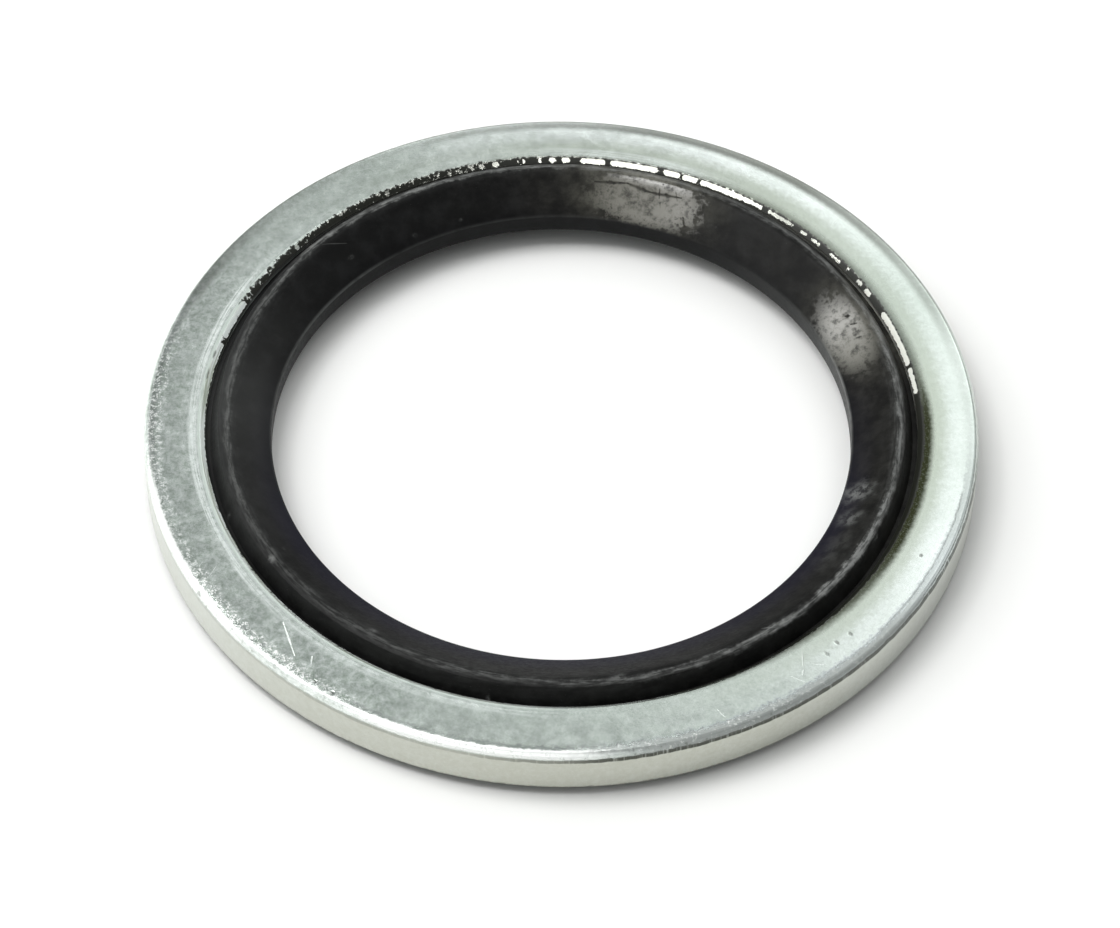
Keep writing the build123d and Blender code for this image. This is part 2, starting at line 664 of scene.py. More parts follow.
CHIPPED_BAND = spaced(STEEL_OUTER_RADIUS, -0.40, -0.24)
FOOT_SHADE_BAND = spaced(STEEL_BOTTOM, 0.10, 0.04)
RIM_BAND = spaced(BEVEL_END, 0.11, 0.05)
BRIGHT_TURNS = (214, 232)       # turns between which the bevel goes from pale to bright

# Each table below follows the turn round the ring, as (degrees, value)

# Brightness of the plating, painted lighter at the back and right where it reflects the bright room, and
# how mottled it is
PLATING_TONE = [
    (0, 0.60), (30, 0.82), (48, 0.68), (62, 0.54), (90, 0.51), (120, 0.49), (150, 0.57), (180, 0.63),
    (210, 0.61), (240, 0.57), (256, 0.80), (272, 1.0), (292, 0.98), (310, 0.76), (330, 0.44),
    (360, 0.60),
]
MOTTLED = [
    (0, 0.15), (60, 0.25), (105, 0.35), (120, 1), (205, 1), (222, 0.45), (262, 0.3), (300, 0.2),
    (360, 0.15),
]
# Greenish haze on the inner part of the face, and the pale ring beside the bore
HAZE = [
    (0, 0.9), (40, 0.8), (58, 0.3), (75, 0.1), (90, 0), (225, 0), (250, 0.3), (272, 0.8), (305, 0.9),
    (330, 0.6), (360, 0.9),
]
PALE_RING = [
    (0, 0), (84, 0.0), (100, 0.6), (120, 0.6), (138, 0.8), (150, 0.9), (206, 1), (216, 0.35),
    (235, 0.2), (262, 0.2), (270, 0.7), (290, 0.7), (296, 0.2), (305, 0), (360, 0),
]
# Painted reflection and shade on the outer part of the face: bluish where it reflects the darker right,
# dark on the far side
BLUISH = [(0, 0), (14, 0.3), (26, 1), (62, 1), (78, 0.5), (90, 0), (360, 0)]
SHADED = [
    (0, 0.15), (18, 0), (198, 0), (206, 0.5), (214, 0.4), (222, 0.15), (244, 0.2), (256, 0.55),
    (270, 0.75), (284, 0.95), (306, 1), (318, 0.85), (334, 0.55), (348, 0.2), (360, 0.15),
]
# The edge where it turns down: darkened by painted shade, scoured grey, and white with a painted
# highlight
EDGE_SHADE = [
    (0, 0.1), (15, 0.4), (30, 0.2), (45, 0.25), (60, 0.35), (78, 0.35), (90, 0.5), (105, 0.3),
    (118, 0.4), (137, 0.4), (146, 0), (165, 0.1), (176, 0.4), (200, 0.4), (210, 0), (350, 0),
    (360, 0.1),
]
SCOURED = [(0, 0), (24, 0), (42, 0.8), (72, 0.8), (84, 0.3), (90, 0), (360, 0)]
ROLL_HIGHLIGHT = [
    (0, 0), (80, 0), (90, 1), (114, 1), (121, 0.45), (134, 0.45), (141, 1), (164, 1), (172, 0.3),
    (186, 0), (360, 0),
]
# Tone of the outer wall, painted lighter on the left and darker at the front, and painted shade along
# its foot
WALL_TONE = [
    (0, 0.6), (20, 0.6), (42, 0.55), (60, 0.2), (90, 0.08), (120, 0.25), (150, 0.65), (180, 0.8),
    (360, 0.6),
]
FOOT_SHADE = [
    (0, 0.2), (30, 0.6), (60, 0.7), (85, 0.8), (110, 1), (135, 0.9), (150, 0.6), (172, 0.2), (200, 0),
    (350, 0), (360, 0.2),
]
# White scuffs on the outer part of the face, and bright and dark flecks on the rolled edge
SCUFFED = [
    (0, 0), (112, 0), (122, 0.5), (129, 1), (148, 1), (157, 0.45), (168, 0.6), (186, 0.6), (200, 0.2),
    (210, 0), (360, 0),
]
CHIPPED = [
    (0, 0.05), (30, 0.15), (50, 0.4), (64, 1), (86, 1), (92, 0.1), (115, 0.15), (122, 0.8), (130, 1),
    (146, 1), (153, 0.3), (162, 0.1), (170, 0.3), (186, 0.3), (204, 0.1), (360, 0.05),
]
# Dark torn line between the rolled edge and the wall: its presence, and its rise above a height
TORN_HEIGHT = STEEL_TOP - 0.325
TORN_RISE = [
    (0, 0.14), (30, 0.12), (45, 0.10), (60, 0.07), (75, 0.05), (90, 0.01), (150, 0.03), (360, 0.14),
]
TORN = [
    (0, 0.3), (14, 0.8), (40, 0.9), (60, 1), (82, 1), (92, 0.6), (104, 0.3), (118, 0.35), (135, 0.2),
    (165, 0.1), (350, 0.1), (360, 0.3),
]
# Fainter dark line where the roll starts
FOLD_RADIUS = STEEL_OUTER_RADIUS - 0.33
FOLD = [(0, 0), (9, 0), (15, 0.2), (34, 0.25), (46, 0.1), (60, 0), (360, 0)]
# Pressed line where the mould closed on the steel
WITNESS_RADIUS = STEEL_BORE_RADIUS + 0.33
WITNESS = [
    (0, 0), (60, 0.05), (90, 0.2), (97, 0.5), (120, 0.4), (140, 0.3), (150, 0.3), (208, 0.3), (215, 0.2),
    (255, 0.1), (300, 0.1), (360, 0),
]
# Frosting of the bare metal on the bevel
FROSTED = [
    (0, 0), (66, 0), (80, 0.3), (104, 0.6), (142, 0.75), (154, 0.85), (208, 0.85), (218, 0.4), (232, 0),
    (320, 0), (332, 0.9), (354, 0.9), (358, 0), (360, 0),
]

# Presence of the rubber film on the bevel. Past the front it jumps, as the film has torn away there
FILM_FRONT = [
    (0, 1), (60, 1), (76, 0.45), (90, 0.3), (150, 0.35), (170, 0.2), (186, 0), (354, 0), (355, 1),
    (360, 1),
]
FILM_LEFT = [
    (195.8, 0.75), (197, 0.1), (205.3, 0.75), (213, 0.9), (219.4, 0.3), (220.2, 0.85), (221.5, 0.5),
    (222.3, 0.85), (228, 0.75), (238.6, 0.3), (239.4, 0.72), (243.5, 0.6), (249, 0.58),
    (255.4, 0.25), (256.3, 0.65), (257.6, 0.25), (258.7, 0.8), (262, 0),
]
FILM_BACK = [
    (262, 1), (262.7, 0.3), (263.2, 1), (265.2, 0.5), (266, 1), (267.2, 0.2), (268.3, 1),
    (269.2, 0.05), (270.8, 1), (272.4, 0), (276.8, 1), (277.5, 0), (285.7, 1), (286.4, 0),
    (289.4, 1), (289.9, 0), (292.6, 1), (293.0, 0), (304.9, 0.9), (305.9, 0.05), (310, 0),
]
FILM_RIGHT = [
    (310, 0.3), (311.2, 0.8), (313, 0.2), (314.2, 0.85), (315.4, 0.25), (317.2, 0.9), (319.8, 0.15),
    (322.2, 0.95), (323.4, 0.6), (324.6, 0.95), (327.0, 0.05), (328.4, 1), (329.3, 0.2),
    (331, 0.8), (332.4, 1), (335.0, 0), (347.0, 1), (347.6, 0), (353.1, 1), (358, 0),
]
FILM_STRETCHES = [(190, 262, FILM_LEFT), (262, 310, FILM_BACK), (310, 358, FILM_RIGHT)]
# How far the film reaches from the bore outwards, and how ragged its end is
FILM_WIDTH = [
    (0, 0.19), (30, 0.17), (60, 0.12), (78, 0.07), (100, 0.05), (160, 0.06), (190, 0.08), (205, 0.15),
    (262, 0.15), (353, 0.16), (360, 0.19),
]
FILM_RAGGED = [(0, 0.2), (190, 0.2), (206, 0.5), (255, 0.45), (268, 0.2), (360, 0.2)]
# Bare places: distance from the bore to their middle and their half width, in millimetres, then
# their share of that width, how far they sit outwards, and where the film closes round them
BARE_MIDDLE = 0.07
BARE_HALF = 0.075
BARE_WIDTH = [
    (0, 1.1), (206, 1.1), (224, 0.88), (262, 0.88), (292, 0.86), (298, 0.78), (306, 0.5), (318, 0.45),
    (327, 0.6), (336, 0.9), (346, 0.8), (353, 0.7), (360, 1),
]
BARE_SHIFT = [(0, 0.4), (206, 0.4), (224, 0), (360, 0)]
BEHIND = [(0, 0), (136, 0), (150, 1), (352, 1), (356, 0), (360, 0)]
# Olive stain outside the film: its reach from the bore, its strength and its softness
STAIN_WIDTH = [
    (0, 0.42), (24, 0.42), (34, 0.38), (48, 0.29), (62, 0.20), (88, 0.16), (110, 0.08), (200, 0.05),
    (240, 0.16), (265, 0.19), (290, 0.20), (300, 0.30), (335, 0.30), (350, 0.33), (357, 0.41),
    (360, 0.42),
]
STAIN_STRENGTH = [
    (0, 1), (24, 1), (36, 0.9), (62, 0.6), (84, 0.45), (104, 0.1), (235, 0.25), (262, 0.6), (296, 0.6),
    (330, 0.7), (346, 0.85), (360, 1),
]
STAIN_SOFTNESS = [
    (0, 0.11), (22, 0.12), (36, 0.14), (70, 0.10), (230, 0.05), (288, 0.06), (300, 0.20), (344, 0.20),
    (354, 0.12), (360, 0.11),
]

# Noise fields that the marks share: scale, detail and roughness
STEEL_NOISE = {
    "broad": (0.55, 3.0, 0.5),
    "cloudy": (2.4, 4.0, 0.6),
    "mottle": (4.5, 5.0, 0.75),
    "grain": (8.0, 3.0, 0.6),
    "fine": (24.0, 2.0, 0.6),
}
# Streaks across and round the ring: how fine they are round it and across it
STREAKS_ACROSS = {"round": 170, "across": 1.2}
STREAKS_ROUND = {"round": 5, "across": 26}

# Scratches: turn and radius of the start and of the end, half width, strength
FACE_SCRATCHES = [
    (130, 11.34, 135.5, 10.74, 0.035, 1.0),
    (127.3, 11.25, 128, 11.05, 0.045, 0.9),
    (149, 11.40, 150, 11.10, 0.03, 0.4),
    (54, 11.55, 55, 11.20, 0.035, 0.35),
    (52.5, 11.10, 51, 10.72, 0.035, 0.4),
    (53.6, 11.34, 52.9, 11.22, 0.04, 0.5),
    (50, 11.42, 51.2, 11.20, 0.04, 0.35),
    (66.6, 11.55, 67.1, 11.25, 0.03, 0.4),
]
# Specks: turn, half turn, radius, half radius, softness, strength
FACE_SPECKS = [
    (25.5, 0.33, 11.24, 0.05, 0.5, 0.6),
    (43.5, 0.25, 11.15, 0.08, 0.6, 0.5),
    (46, 0.25, 11.10, 0.08, 0.6, 0.5),
    (48.5, 0.25, 11.20, 0.09, 0.6, 0.4),
    (122, 0.35, 11.72, 0.06, 0.6, 0.6),
    (125, 0.30, 11.66, 0.05, 0.6, 0.5),
    (184.5, 1.6, 10.41, 0.035, 0.5, 0.9),
    (188.5, 1.2, 10.38, 0.03, 0.5, 0.9),
    (193, 0.8, 10.37, 0.03, 0.5, 0.8),
]


def noise_fields(bench, place, settings):
    """Noise fields by name, and how far the lumps and the grain stray from their middle."""
    noise = {name: bench.noise(place["Position"], *given) for name, given in settings.items()}
    noise["lumps"] = bench.centred(noise["mottle"])
    noise["ragged"] = bench.centred(noise["grain"])
    return noise


def streaks(bench, place, settings):
    """Noise drawn out across the ring or round it."""
    lines = {"position": place["Position"], "radius": place["Radius"]}
    return bench.group(STREAKS, **lines, **settings).outputs[0]


def steel_noise(bench, place):
    """Noise fields of the steel."""
    noise = noise_fields(bench, place, STEEL_NOISE)
    noise["across"] = streaks(bench, place, STREAKS_ACROSS)
    noise["round_lines"] = streaks(bench, place, STREAKS_ROUND)
    noise["speckle"] = bench.plus(noise["ragged"], bench.centred(noise["fine"]), 0.8)
    noise["mottled"] = bench.round_ring(place["Turn"], MOTTLED)
    return noise


def steel_zones(bench, place):
    """Masks of the parts of the section: all that faces up, the roll, the wall, the bevel, the face."""
    radius, height = place["Radius"], place["Height"]
    top = bench.between(height, *spaced(STEEL_TOP, -0.30, -0.12))
    roll = bench.between(radius, TURN_START - 0.10, TURN_START)
    face = bench.between(radius, BEVEL_END, BEVEL_END + 0.05)
    return {
        "top": top,
        "roll": roll,
        "wall": bench.between(height, *spaced(STEEL_TOP, -0.22, -0.30)),
        "bevel": bench.between(radius, *spaced(BEVEL_END, 0.01, -0.02)),
        "face": bench.product(bench.minus(face, roll), top, clamp=True),
    }


def plating(bench, place, noise):
    """Colour of the plating on the face, with painted light in its tone, painted reflection and shade
    near the edge, and the mask of its pale ring.
    """
    turn, radius = place["Turn"], place["Radius"]
    lumps, mottled, round_lines = noise["lumps"], noise["mottled"], noise["round_lines"]
    # Painted light: the tone round the ring is lighter at the back and on the right, where the face
    # reflects the bright room
    tone = bench.round_ring(turn, PLATING_TONE)
    tone = bench.plus(tone, bench.product(lumps, mottled), 2.8)
    tone = bench.plus(tone, bench.centred(noise["broad"]), 0.35)
    tone = bench.plus(tone, noise["speckle"], bench.plus(0.18, mottled, 0.5))
    tone = bench.plus(tone, bench.centred(noise["across"]), 0.07, clamp=True)
    colour = bench.mixed(tone, ZINC_DULL, ZINC_PALE)

    wander = bench.plus(radius, lumps, 0.5)
    haze = bench.product(bench.between(wander, *HAZE_BAND), bench.round_ring(turn, HAZE), 0.72)
    colour = bench.mixed(haze, colour, ZINC_GREENISH)
    pale = bench.product(
        bench.between(bench.plus(radius, lumps, 0.12), *PALE_BAND),
        bench.round_ring(turn, PALE_RING),
        bench.between(round_lines, 0.36, 0.56, 0.3, 1.0),
        bench.between(noise["mottle"], 0.35, 0.6, 0.7, 1.0),
    )
    colour = bench.mixed(pale, colour, ZINC_PALE)
    # Painted reflection: bluish grey on the turned edge, where it reflects the darker room on the right
    bluish = bench.product(
        bench.between(wander, *BLUISH_BAND),
        bench.round_ring(turn, BLUISH),
        bench.between(round_lines, 0.35, 0.6, 0.6, 1.0),
        0.7,
    )
    colour = bench.mixed(bluish, colour, ZINC_BLUISH)
    # Painted shade: dark band on the far side, where the edge turns away from the light
    shaded = bench.between(bench.plus(radius, lumps, 0.15), *SHADED_BAND)
    shaded = bench.product(shaded, bench.round_ring(turn, SHADED), 0.88)
    return bench.mixed(shaded, colour, PIT_AND_SHADE), pale


def edge_shade_wear_and_highlight(bench, place, noise, colour):
    """Colour with the edge darkened by painted shade, scoured, and given a painted highlight; also the
    masks of the last two.
    """
    turn, radius, height = place["Turn"], place["Radius"], place["Height"]
    wander = bench.plus(radius, noise["lumps"], 0.5)
    # Painted shade: the turned edge darkened where it reflects the dark side of the room
    edge_shade = bench.product(
        bench.between(wander, *EDGE_SHADE_BAND),
        bench.between(radius, *EDGE_SHADE_END),
        bench.round_ring(turn, EDGE_SHADE),
    )
    colour = bench.mixed(edge_shade, colour, EDGE_SHADE_DARK)
    scoured = bench.product(
        bench.between(wander, *SCOURED_BAND),
        bench.between(height, *SCOURED_FOOT),
        bench.round_ring(turn, SCOURED),
        bench.between(noise["round_lines"], 0.35, 0.55, 0.8, 1.0),
    )
    colour = bench.mixed(scoured, colour, SCOURED_GREY)
    # Painted highlight: white band on the turned edge, where it reflects the lamps at the front and the
    # left
    roll_highlight = bench.product(
        bench.between(bench.plus(radius, noise["lumps"], 0.2), *ROLL_HIGHLIGHT_BAND),
        bench.between(height, *ROLL_HIGHLIGHT_FOOT),
        bench.round_ring(turn, ROLL_HIGHLIGHT),
        bench.between(noise["mottle"], 0.3, 0.5, 0.6, 1.0),
    )
    return bench.mixed(roll_highlight, colour, SCRATCHED_AND_HIGHLIGHT), scoured, roll_highlight


def wall_and_bevel(bench, place, noise, zones, colour):
    """Colour with the outer wall and its painted light, the bevel, and painted shade at the wall's foot.
    """
    turn = place["Turn"]
    # Painted light: the wall is lighter on the left and darker at the front; the noise is its own
    # mottling
    tone = bench.plus(bench.round_ring(turn, WALL_TONE), noise["lumps"], 0.9)
    tone = bench.plus(tone, noise["speckle"], 0.5, clamp=True)
    colour = bench.mixed(zones["wall"], colour, bench.mixed(tone, WALL_DULL, WALL_PALE))
    bevel = bench.mixed(bench.between(turn, *BRIGHT_TURNS), ZINC_PALE, BRIGHT_BEVEL)
    streaky = bench.product(
        bench.between(noise["round_lines"], 0.55, 0.4),
        bench.between(turn, *reversed(BRIGHT_TURNS)),
        0.9,
    )
    bevel = bench.mixed(streaky, bevel, ZINC_GREENISH)
    colour = bench.mixed(zones["bevel"], colour, bevel)
    # Painted shade along the wall's foot, where the contact shadow falls
    foot = bench.between(bench.plus(place["Height"], noise["lumps"], 0.15), *FOOT_SHADE_BAND)
    return bench.mixed(bench.product(foot, bench.round_ring(turn, FOOT_SHADE), 0.8), colour, PIT_AND_SHADE)


def face_marks(bench, place, noise, zones, colour):
    """Colour with the scratches and specks of the face, and their masks."""
    hairs = bench.group(HAIRLINES, position=place["Position"], angle=0.5, rarity=0.66).outputs[0]
    scratched = bench.product(
        bench.plus(all_scratches(bench, place, FACE_SCRATCHES), hairs, 0.07),
        bench.between(noise["grain"], 0.3, 0.5, 0.4, 1.0),
        zones["face"],
        clamp=True,
    )
    colour = bench.mixed(bench.product(scratched, 0.75), colour, SCRATCHED_AND_HIGHLIGHT)
    specks = all_patches(bench, place, bench.product(noise["ragged"], 1.5), FACE_SPECKS)
    specks = bench.product(specks, zones["top"], clamp=True)
    return bench.mixed(specks, colour, PIT_AND_SHADE), scratched, specks


def chipped_roll(bench, place, noise, zones, colour):
    """Colour with bright and dark flecks on the rolled edge, and the mask of where they are."""
    pitted = bench.blend(0.5, noise["mottle"], noise["grain"])
    chips = bench.product(
        bench.round_ring(place["Turn"], CHIPPED),
        bench.between(place["Radius"], *CHIPPED_BAND),
        bench.minus(1, zones["wall"]),
    )
    bright = bench.product(bench.between(pitted, 0.54, 0.62), chips, 0.6)
    dark = bench.product(bench.between(pitted, 0.45, 0.36), chips, 0.5)
    return bench.mixed(dark, bench.mixed(bright, colour, SCRATCHED_AND_HIGHLIGHT), PIT_AND_SHADE), chips


def white_scuffs(bench, place, noise):
    """Mask of the white scuffs on the outer part of the face."""
    radius = place["Radius"]
    return bench.product(
        bench.between(bench.plus(radius, noise["lumps"], 0.9), *SCUFFED_BAND),
        bench.between(radius, *SCUFFED_END),
        bench.round_ring(place["Turn"], SCUFFED),
        bench.between(bench.blend(0.45, noise["grain"], noise["fine"]), 0.50, 0.57),
    )


def torn_line(bench, place, noise, zones):
    """Mask of the torn line under the rolled edge and of the fold above it."""
    turn, radius = place["Turn"], place["Radius"]
    drift = bench.centred(noise["cloudy"])
    torn_height = bench.value("ADD", bench.round_ring(turn, TORN_RISE), TORN_HEIGHT)
    gap = bench.apart(bench.plus(place["Height"], drift, 0.12), torn_height)
    torn = bench.product(
        bench.between(gap, 0.095, 0.05),
        bench.round_ring(turn, TORN),
        bench.between(noise["across"], 0.28, 0.48, 0.55, 1.0),
        bench.between(radius, ROLL_START, ROLL_START + 0.25),
    )
    fold = bench.between(bench.apart(bench.plus(radius, drift, 0.12), FOLD_RADIUS), 0.04, 0.01)
    fold = bench.product(fold, bench.round_ring(turn, FOLD), zones["top"])
    return bench.larger(torn, fold)


def frosted_rim(bench, place, pale, zones):
    """Masks of the frosted strip beside the bevel, and of all that is chalky instead of bright."""
    radius = place["Radius"]
    frosted = bench.round_ring(place["Turn"], FROSTED)
    rim = bench.product(bench.between(radius, *RIM_BAND), frosted)
    beside = bench.minus(rim, bench.product(zones["bevel"], rim))
    chalky = bench.product(pale, frosted, bench.between(radius, *CHALKY_BAND, 0.2, 0.6))
    return beside, bench.larger(chalky, rim)


def rubber_film(bench, place, noise):
    """Masks of the black film and the olive stain on the steel's bore edge."""
    turn = place["Turn"]
    reach = bench.minus(place["Radius"], STEEL_BORE_RADIUS)
    offset = bench.value("DIVIDE", bench.minus(reach, BARE_MIDDLE), BARE_HALF)
    edge = bench.value("POWER", bench.value("ABSOLUTE", offset), 2)
    loose = bench.centred(bench.plus(bench.product(noise["grain"], 0.85), noise["across"], 0.15))

    # Each bare place is rounded off towards the two edges of the bevel
    presence = bench.round_ring(turn, FILM_FRONT, smooth=False)
    wander = bench.plus(turn, loose, 1.2)
    for side in (-0.45, 0.45):
        shifted = bench.plus(wander, edge, side)
        for low, high, stops in FILM_STRETCHES:
            presence = bench.larger(presence, bench.jumps(shifted, low, high, stops))
    torn = bench.between(bench.plus(presence, loose, 1.9), 0.42, 0.55)
    shifted = bench.apart(offset, bench.round_ring(turn, BARE_SHIFT))
    creep = bench.plus(shifted, loose, 1.5)
    past_bare = bench.minus(creep, bench.round_ring(turn, BARE_WIDTH))
    closed = bench.product(bench.between(past_bare, -0.08, 0.08), bench.round_ring(turn, BEHIND))
    torn = bench.larger(torn, closed)

    ragged = bench.product(loose, bench.round_ring(turn, FILM_RAGGED))
    film_end = bench.value("ADD", bench.round_ring(turn, FILM_WIDTH), ragged)
    film_room = bench.minus(film_end, reach)
    film = bench.product(bench.between(film_room, -0.02, 0.02), torn)
    stain_end = bench.plus(bench.round_ring(turn, STAIN_WIDTH), ragged, 0.8)
    softness = bench.round_ring(turn, STAIN_SOFTNESS)
    stain_room = bench.value("DIVIDE", bench.minus(stain_end, reach), softness)
    stain = bench.product(
        bench.between(stain_room, -1, 1),
        bench.between(reach, BORE_BEVEL_WIDTH - 0.04, BORE_BEVEL_WIDTH),
        bench.round_ring(turn, STAIN_STRENGTH),
        bench.between(noise["fine"], 0.25, 0.5, 0.8, 1.0),
    )
    return film, stain


def steel_material():
    """Plated steel with its scoured edge, painted light and shade on its face, edge and wall, its marks,
    and the film of rubber on its bore edge.
    """
    material, bench, shader, place = new_material("zinc_plated_steel")
    noise = steel_noise(bench, place)
    zones = steel_zones(bench, place)
    colour, pale = plating(bench, place, noise)
    colour, scoured, roll_highlight = edge_shade_wear_and_highlight(bench, place, noise, colour)
    colour = wall_and_bevel(bench, place, noise, zones, colour)
    colour, scratched, specks = face_marks(bench, place, noise, zones, colour)
    colour, chips = chipped_roll(bench, place, noise, zones, colour)
    scuffed = white_scuffs(bench, place, noise)
    torn = torn_line(bench, place, noise, zones)
    beside, chalky = frosted_rim(bench, place, pale, zones)
    film, stain = (bench.product(mask, zones["top"]) for mask in rubber_film(bench, place, noise))
    paints = ((scuffed, SCRATCHED_AND_HIGHLIGHT), (torn, PIT_AND_SHADE), (beside, CHALK), (stain, OLIVE), (film, FILM))
    for mask, paint in paints:
        colour = bench.mixed(mask, colour, paint)
    bench.feed(shader.inputs["Base Color"], colour)

    # What hides the metal's gloss
    covered = bench.larger(bench.larger(film, chalky), scoured)
    covered = bench.larger(covered, bench.product(bench.larger(roll_highlight, scuffed), 0.75))
    bench.feed(shader.inputs["Metallic"], bench.minus(1, covered))

    rough = bench.between(noise["cloudy"], 0.3, 0.7, 0.18, 0.27)
    finishes = (
        (zones["roll"], 0.22),
        (zones["wall"], 0.30),
        (zones["bevel"], 0.14),
        (scratched, 0.42),
        (torn, 0.6),
        (bench.larger(film, stain), 0.42),
    )
    for mask, roughness in finishes:
        rough = bench.blend(mask, rough, roughness)
    bench.feed(shader.inputs["Roughness"], rough)

    witness = bench.product(
        bench.between(bench.apart(place["Radius"], WITNESS_RADIUS), 0.06, 0.0),
        bench.round_ring(place["Turn"], WITNESS),
        bench.between(noise["mottle"], 0.38, 0.6, 0.1, 1.0),
    )
    relief = bench.product(noise["ragged"], 0.14)
    depths = (
        (noise["fine"], 0.06),
        (noise["cloudy"], 0.11),
        (bench.product(noise["lumps"], noise["mottled"]), 0.12),
        (noise["round_lines"], 0.08),
        (witness, 0.5),
        (bench.product(chips, noise["lumps"]), 2.2),
        (scratched, -0.4),
        (specks, -1.0),
        (torn, -1.5),
        (film, 1.0),
    )
    for field, depth in depths:
        relief = bench.plus(relief, field, depth)
    bench.bumped(shader, relief, 1.0)
    return material


# ---- Black rubber ----

RUBBER = (0.0028, 0.0029, 0.0032, 1)
RUBBER_GREY = (0.0075, 0.0078, 0.0088, 1)
RUBBER_NAVY = (0.0050, 0.0046, 0.0115, 1)
# Pale for dust and scuffs, and for painted sheens and highlights
DUST_AND_SHEEN = (0.19, 0.195, 0.19, 1)
# Warm for the painted sheen and the painted highlight in the polished places
WARM_SHEEN = (0.16, 0.155, 0.125, 1)
RUBBER_GLOSS = {"Coat Roughness": 0.2, "Coat IOR": 1.9, "Specular IOR Level": 0.06}

# Bands of the cone, as for the steel
NAVY_BAND = spaced(SEAL_BORE_RADIUS, 0.85, 0.20)
WARM_SHEEN_BAND = spaced(SEAL_BORE_RADIUS, 0.05, 0.45)
SHEEN_BAND = spaced(SEAL_BORE_RADIUS, 0.05, 0.55)
SPECK_BAND = spaced(SEAL_BORE_RADIUS, 0.65, 1.15)
LAND_BAND = spaced(SEAL_BORE_RADIUS, 0.03, 0.01)
UPPER_HALF = spaced(MID_PLANE, 0.20, 0.35)

# Crest dust, also standing in for its painted highlight, a painted sheen round it, and how far they sit
# towards the cone
DUST_MIDDLE = CREST_OUTSIDE - 0.12
DUST_SHIFT = [
    (0, 0), (80, 0), (98, 0.09), (150, 0.09), (180, 0.13), (205, 0.1), (226, 0), (360, 0),
]
CREST_DUST = [
    (0, 0.50), (14, 0.55), (18, 1.0), (30, 1.8), (41, 1.3), (44, 0.5), (47, 1.2), (53, 1.0),
    (58, 0.7), (70, 0.7), (85, 0.38), (110, 0.25), (140, 0.2), (180, 0.36), (205, 0.44), (229, 0.8),
    (240, 0.8), (262, 0.7), (300, 0.45), (335, 0.55), (345, 0.65), (360, 0.50),
]
CREST_SHEEN = [
    (0, 0.24), (25, 0.14), (45, 0.06), (85, 0.08), (108, 0.14), (140, 0.10), (215, 0.08), (250, 0.05),
    (325, 0.05), (345, 0.2), (360, 0.24),
]
# Painted brownish sheen where the back and right of the cone reflect the lamps, and navy tint along its
# foot
WARM_SHEEN_ROUND = [
    (0, 0.05), (15, 0.06), (60, 0.03), (225, 0.01), (258, 0.02), (268, 0.07), (275, 0.26), (294, 0.26),
    (300, 0.10), (304, 0.03), (322, 0.04), (328, 0.16), (340, 0.22), (348, 0.10), (353, 0.05),
    (360, 0.05),
]
NAVY = [(0, 0.3), (20, 1), (150, 1), (175, 0.3), (200, 0), (340, 0), (360, 0.3)]
# Painted faint grey sheen on the left of the cone, and painted highlights along the cone's foot and on
# the land
SHEEN = [
    (0, 0), (140, 0), (165, 0.06), (184, 0.13), (200, 0.06), (212, 0.02), (262, 0.01), (360, 0),
]
FOOT_HIGHLIGHT = [
    (0, 0.35), (150, 0.1), (190, 0.35), (205, 0.45), (222, 0.4), (235, 0.15), (315, 0.05), (335, 0.4),
    (345, 0.9), (357, 0.8), (360, 0.35),
]
LAND_HIGHLIGHT = [
    (0, 0.05), (190, 0.04), (208, 0.06), (215, 0.04), (300, 0.05), (320, 0.14), (340, 0.3), (354, 0.2),
    (360, 0.05),
]
RUBBER_NOISE = {
    "broad": (0.7, 3.0, 0.6),
    "cloudy": (1.8, 4.0, 0.6),
    "mottle": (4.0, 4.0, 0.7),
    "grain": (8.0, 3.0, 0.65),
    "fine": (26.0, 2.0, 0.6),
}
RUBBED = {"round": 16, "across": 13}

# Patches and scratches are laid out as the steel's
SCUFF_PATCHES = [
    (16, 2.4, 8.80, 0.42, 0.7, 0.55),
    (22.5, 1.8, 8.90, 0.34, 0.8, 0.40),
    (31, 5.0, 9.0, 0.35, 0.9, 0.10),
    (145.8, 0.7, 9.75, 0.10, 0.6, 0.6),
    (147.5, 0.4, 9.20, 0.05, 0.6, 0.5),
    (159, 0.4, 10.05, 0.04, 0.6, 0.5),
    (101, 0.4, 10.10, 0.05, 0.6, 0.4),
    (80, 1.2, 9.60, 0.10, 0.8, 0.25),
    (123, 0.8, 9.45, 0.09, 0.7, 0.30),
    (225, 0.6, 8.9, 0.05, 0.7, 0.25),
    (239, 0.5, 8.6, 0.05, 0.7, 0.3),
    (249, 0.4, 8.6, 0.04, 0.7, 0.3),
]
RUBBER_SCRATCHES = [
    (222, 9.6, 226, 9.25, 0.025, 0.25),
    (52, 9.75, 54, 9.55, 0.03, 0.5),
]
# Polished places on the cone, glossy and painted with a warm highlight, and the cracks in them
POLISHED_HIGHLIGHTS = [
    (285.8, 10.0, 9.02, 0.72, 0.20, 1.0),
    (337.5, 8.0, 9.00, 0.62, 0.40, 1.0),
]
CRACKS = [
    (275.5, 9.30, 281.5, 9.36, 0.07, 0.9),
    (281.5, 9.36, 286, 9.24, 0.09, 1.0),
    (286, 9.24, 292, 9.30, 0.08, 1.0),
    (287.6, 9.40, 288.0, 9.12, 0.04, 0.9),
    (290.6, 9.42, 291.4, 9.20, 0.03, 0.7),
    (288.2, 9.10, 288.7, 8.90, 0.03, 0.5),
    (293.5, 8.85, 294.6, 8.60, 0.06, 0.7),
    (333.8, 9.2, 334.4, 9.3, 0.07, 0.9),
    (336.0, 9.2, 336.6, 9.35, 0.07, 0.9),
    (339.2, 9.15, 339.6, 9.3, 0.06, 0.7),
]


